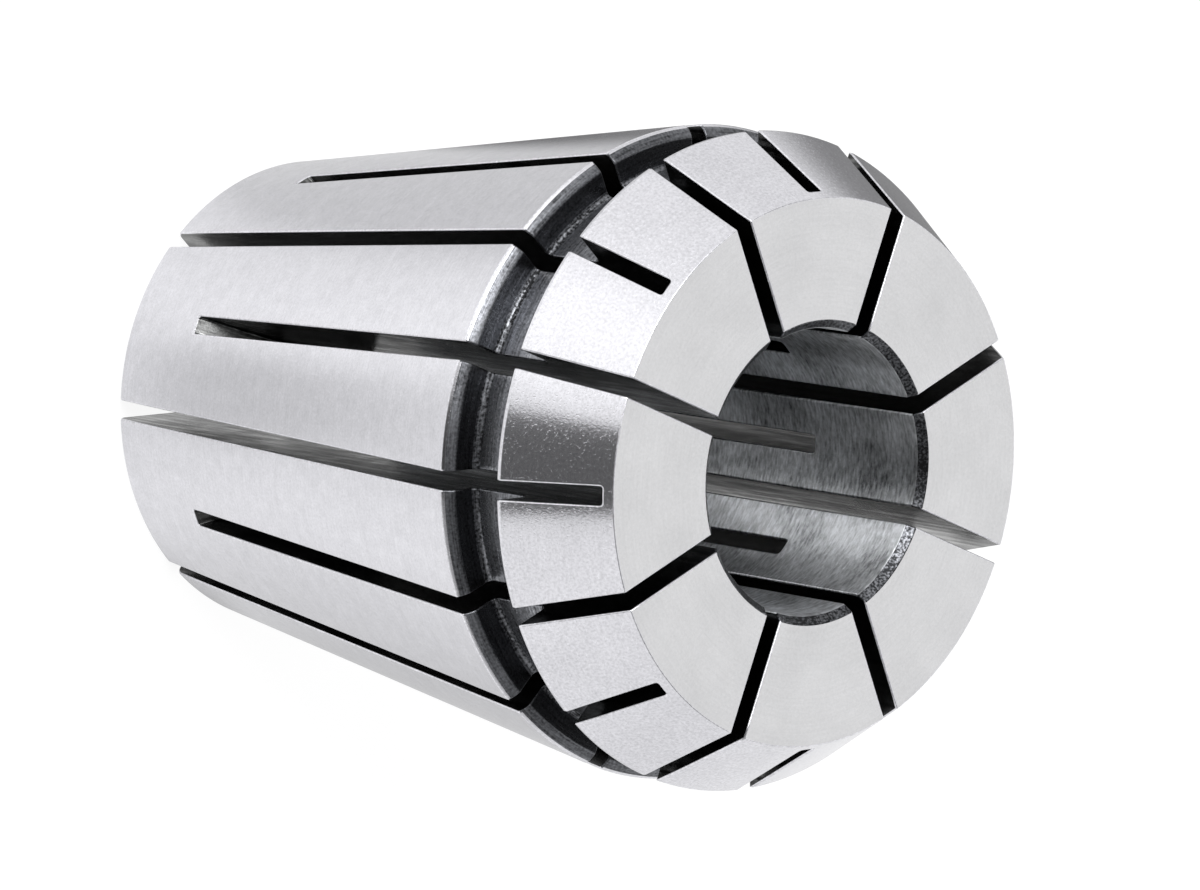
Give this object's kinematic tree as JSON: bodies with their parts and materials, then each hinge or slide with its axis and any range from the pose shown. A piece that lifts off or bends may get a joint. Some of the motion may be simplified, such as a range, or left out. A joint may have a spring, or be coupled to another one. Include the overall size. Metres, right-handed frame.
{
  "type": "er collet",
  "caption": "One-piece steel spring collet with a long shallow taper, a short nose cone, an extraction groove and interleaved saw slots, which clamps a round shank in its bore.",
  "frame": {"origin": "centre of the flat back end, on the bore axis", "axes": "+Z along the bore axis from the small back end to the nose face; +X and +Y each run through a slot that is sawn from the back end"},
  "size_m": [0.033, 0.033, 0.04],
  "materials": {
    "ground_steel": "hardened spring steel, ground bright on the cones and the nose face, left grey and turned in the groove"
  },
  "bodies": {
    "root": {"collet": "ground_steel"}
  },
  "joints": []
}
